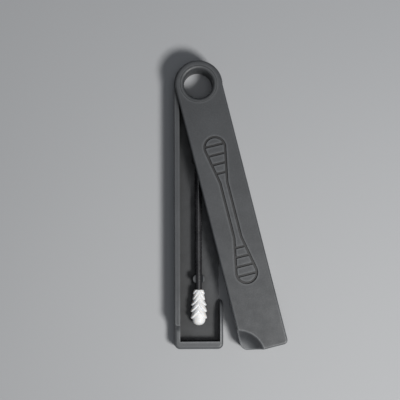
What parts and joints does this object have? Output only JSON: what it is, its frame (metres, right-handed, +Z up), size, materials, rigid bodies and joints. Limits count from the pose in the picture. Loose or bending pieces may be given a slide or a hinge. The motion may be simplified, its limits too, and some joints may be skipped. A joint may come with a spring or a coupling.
{
  "type": "reusable swab in a swivelling pocket case",
  "caption": "Flat pocket case whose lid swivels about a hollow rivet, holding a thin stick with ribbed soft tips in snap clips.",
  "frame": {"origin": "on the hollow rivet's axis, at the underside of the tray", "axes": "+Z up out of the lid along the rivet's bore, -Y along the tray from the head to its end, +X towards the side that the lid opens to"},
  "size_m": [0.0381, 0.099, 0.012],
  "materials": {
    "case_plastic": "fine spark-eroded texture",
    "rivet_plastic": "satin moulded",
    "stick_plastic": "smooth moulded",
    "tip_silicone": "soft matt silicone"
  },
  "bodies": {
    "tray": {"tray": "case_plastic", "rivet_sleeve": "rivet_plastic", "rivet_cap": "rivet_plastic"},
    "lid": {"lid": "case_plastic"},
    "swab": {"swab_stick": "stick_plastic", "swab_tip_upper": "tip_silicone", "swab_tip_lower": "tip_silicone"}
  },
  "joints": [
    {"name": "lid_swing", "type": "hinge", "parent": "tray", "child": "lid", "pos_m": [0, 0, 0.0098], "axis": [0, 0, 1], "range_deg": [-14, 200]},
    {"name": "swab_spin", "type": "hinge", "parent": "tray", "child": "swab", "pos_m": [0, -0.0461, 0.00505], "axis": [0, 1, 0], "continuous": true}
  ]
}
